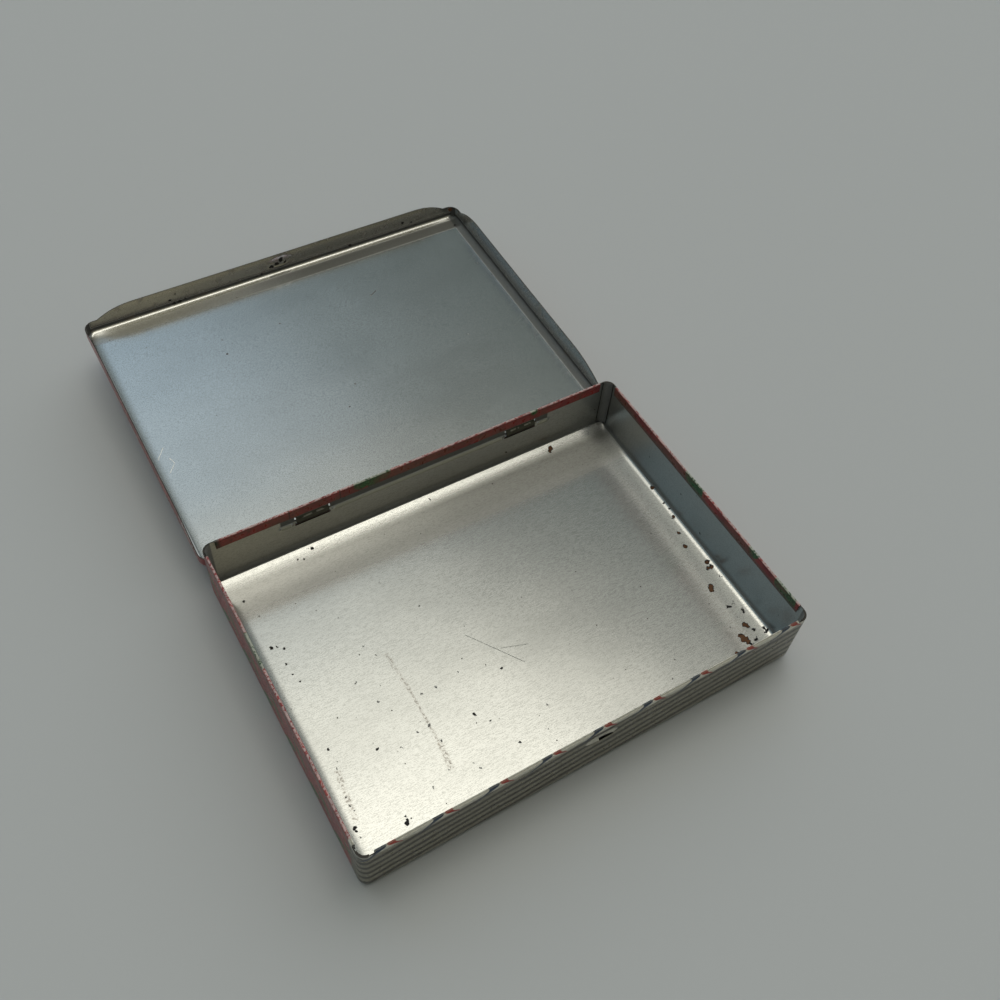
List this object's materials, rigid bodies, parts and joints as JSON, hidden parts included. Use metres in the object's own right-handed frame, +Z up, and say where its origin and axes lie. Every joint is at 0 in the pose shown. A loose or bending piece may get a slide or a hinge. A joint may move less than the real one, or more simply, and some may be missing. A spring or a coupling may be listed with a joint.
{
  "type": "art supply box",
  "caption": "Shallow hinged tinplate box, standing open and empty: a folded tray, and a lid whose own tabs curl through slots in the tray's back wall.",
  "frame": {"origin": "centre of the tray's flat underside, on the surface that the box rests on", "axes": "X along the hinge line, +Y from the tray's front wall to its hinge wall and on to the open lid, +Z up"},
  "size_m": [0.1416, 0.2068, 0.0226],
  "materials": {
    "tray_tinplate": "bare satin tinplate inside, printed and worn lacquer outside and on the folded rim",
    "lid_tinplate": "bare satin tinplate inside, printed and worn lacquer outside"
  },
  "bodies": {
    "tray": {"tray": "tray_tinplate"},
    "lid": {"lid": "lid_tinplate"}
  },
  "joints": [
    {"name": "lid_hinge", "type": "hinge", "parent": "tray", "child": "lid", "pos_m": [0, 0.0518, 0.016], "axis": [1, 0, 0], "range_deg": [0, 178.3]}
  ]
}
